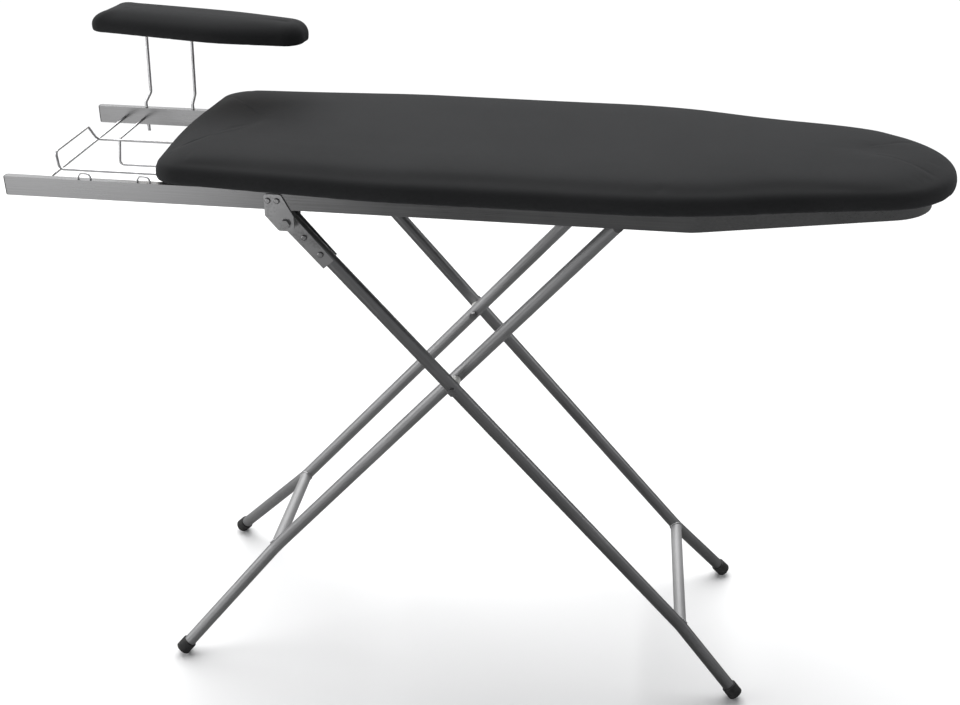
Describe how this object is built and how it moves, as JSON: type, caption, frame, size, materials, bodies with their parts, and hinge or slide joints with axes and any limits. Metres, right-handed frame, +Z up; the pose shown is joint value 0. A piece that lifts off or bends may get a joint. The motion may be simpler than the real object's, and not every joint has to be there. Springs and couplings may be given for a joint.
{
  "type": "folding ironing board",
  "caption": "Folding crossed-leg ironing board on a hairpin rail frame, with a padded top, a wire iron rest and a small lift-off sleeve board.",
  "frame": {"origin": "on the floor, under the middle of the object's box", "axes": "+X from the iron rest end to the rounded nose, +Y across to the side with the sleeve board, +Z up"},
  "size_m": [1.4371, 0.4618, 1.1136],
  "materials": {
    "base_wood": "raw board",
    "rail_steel": "satin",
    "plug_plastic": "moulded",
    "leg_steel": "polished",
    "crossbar_steel": "polished",
    "foot_rubber": "moulded",
    "cover_cloth": "woven",
    "pad_felt": "felt",
    "deck_steel": "satin",
    "bracket_steel": "zinc plated",
    "fastener_steel": "zinc plated",
    "bush_plastic": "moulded nylon",
    "grip_plastic": "moulded",
    "wire_steel": "bright wire"
  },
  "bodies": {
    "table": {"board_cover": "cover_cloth", "board_deck": "deck_steel", "board_pad": "pad_felt", "deck_rivets": "fastener_steel", "fore_bearer": "deck_steel", "front_bearer": "deck_steel", "height_guide_far": "bracket_steel", "height_guide_near": "bracket_steel", "height_rack": "bracket_steel", "hinge_saddle_far": "bracket_steel", "hinge_saddle_near": "bracket_steel", "iron_rest_loop": "wire_steel", "lower_rest_wire": "wire_steel", "middle_bearer": "deck_steel", "nose_bearer": "deck_steel", "pivot_bolts": "fastener_steel", "pivot_nuts": "fastener_steel", "pivot_spacers": "bush_plastic", "rail_end_plugs": "plug_plastic", "rail_frame": "rail_steel", "rail_staples": "wire_steel", "rear_bearer": "deck_steel", "rest_front_rod": "wire_steel", "rest_rear_rod": "wire_steel", "saddle_rivets": "fastener_steel"},
    "outer_legs": {"leg_shoe_far": "bracket_steel", "leg_shoe_near": "bracket_steel", "outer_crossbar": "crossbar_steel", "outer_foot_cap_far": "foot_rubber", "outer_foot_cap_near": "foot_rubber", "outer_leg_far": "leg_steel", "outer_leg_near": "leg_steel", "outer_tube_plugs": "plug_plastic", "shoe_rivets": "fastener_steel", "cross_bolts": "fastener_steel", "cross_nuts": "fastener_steel", "cross_spacers": "bush_plastic"},
    "inner_legs": {"inner_crossbar": "crossbar_steel", "inner_foot_cap_far": "foot_rubber", "inner_foot_cap_near": "foot_rubber", "inner_leg_far": "leg_steel", "inner_leg_near": "leg_steel", "inner_tube_plugs": "plug_plastic", "top_axle": "fastener_steel", "axle_caps": "plug_plastic", "guide_rollers": "bush_plastic", "lever_spring": "fastener_steel"},
    "release_lever": {"lock_lever": "bracket_steel", "lever_grip": "grip_plastic"},
    "sleeve_board": {"sleeve_base": "base_wood", "sleeve_cover": "cover_cloth", "sleeve_pad": "pad_felt", "sleeve_screws": "fastener_steel", "sleeve_wire_left": "wire_steel", "sleeve_wire_right": "wire_steel", "sleeve_wire_sockets": "grip_plastic"}
  },
  "joints": [
    {"name": "leg_fold", "type": "hinge", "parent": "table", "child": "outer_legs", "pos_m": [-0.2799, 0, 0.88], "axis": [0, -1, 0], "range_deg": [0, 47]},
    {"name": "inner_leg_turn", "type": "hinge", "parent": "outer_legs", "child": "inner_legs", "pos_m": [-0.0274, 0, 0.594], "axis": [0, -1, 0], "range_deg": [-94.6, 0]},
    {"name": "lever_swing", "type": "hinge", "parent": "inner_legs", "child": "release_lever", "pos_m": [0.2199, 0, 0.88], "axis": [0, 1, 0], "range_deg": [0, 14], "stiffness_Nm_per_rad": 0.4, "springref_deg": -22.92},
    {"name": "sleeve_lift", "type": "slide", "parent": "table", "child": "sleeve_board", "axis": [0, 0, 1], "range_m": [0, 0.07]}
  ],
  "couplings": [
    {"joint": "inner_leg_turn", "follows": "leg_fold", "ratio": -2.0125}
  ]
}
